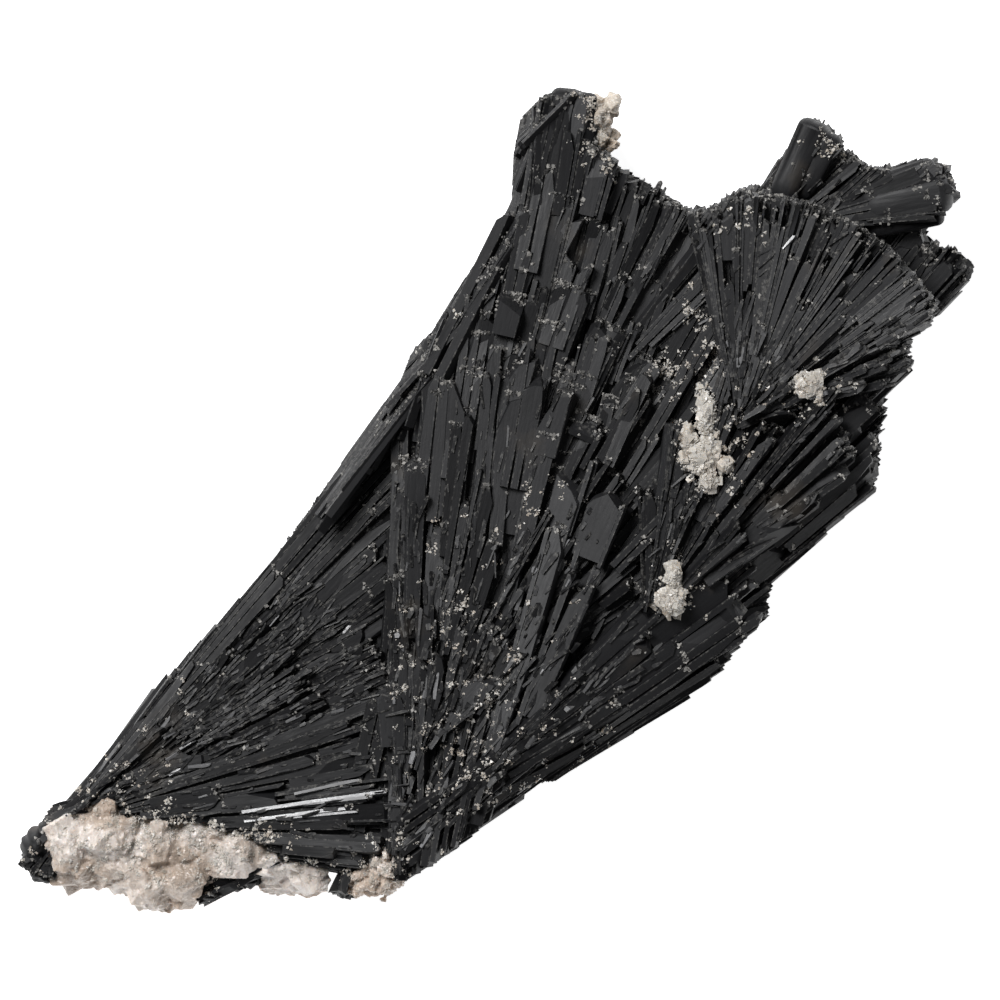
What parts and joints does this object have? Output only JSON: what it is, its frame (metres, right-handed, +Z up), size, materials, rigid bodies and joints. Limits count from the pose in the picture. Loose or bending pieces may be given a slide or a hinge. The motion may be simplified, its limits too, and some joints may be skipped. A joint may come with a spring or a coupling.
{
  "type": "black kyanite specimen",
  "caption": "Natural mineral specimen of black kyanite: flat striated blades in overlapping fans, with pale feldspar and quartz lumps, lying flat.",
  "frame": {"origin": "on the surface the specimen lies on, under the middle of its bounding box", "axes": "+X along the length, from the pale toe to the blade tips; +Z up, out of the side with the small top fans; +Y across"},
  "size_m": [0.1018, 0.0515, 0.0215],
  "materials": {
    "kyanite": "satin graphite black, striated along the blades",
    "feldspar_matrix": "sugary, cream to pinkish beige",
    "quartz": "sugary, greyish white"
  },
  "bodies": {
    "root": {"kyanite_fans": "kyanite", "matrix_toe": "feldspar_matrix", "matrix_heel": "feldspar_matrix", "quartz_tip": "quartz", "quartz_patch": "quartz", "quartz_knob": "quartz", "quartz_shoulder": "quartz"}
  },
  "joints": []
}
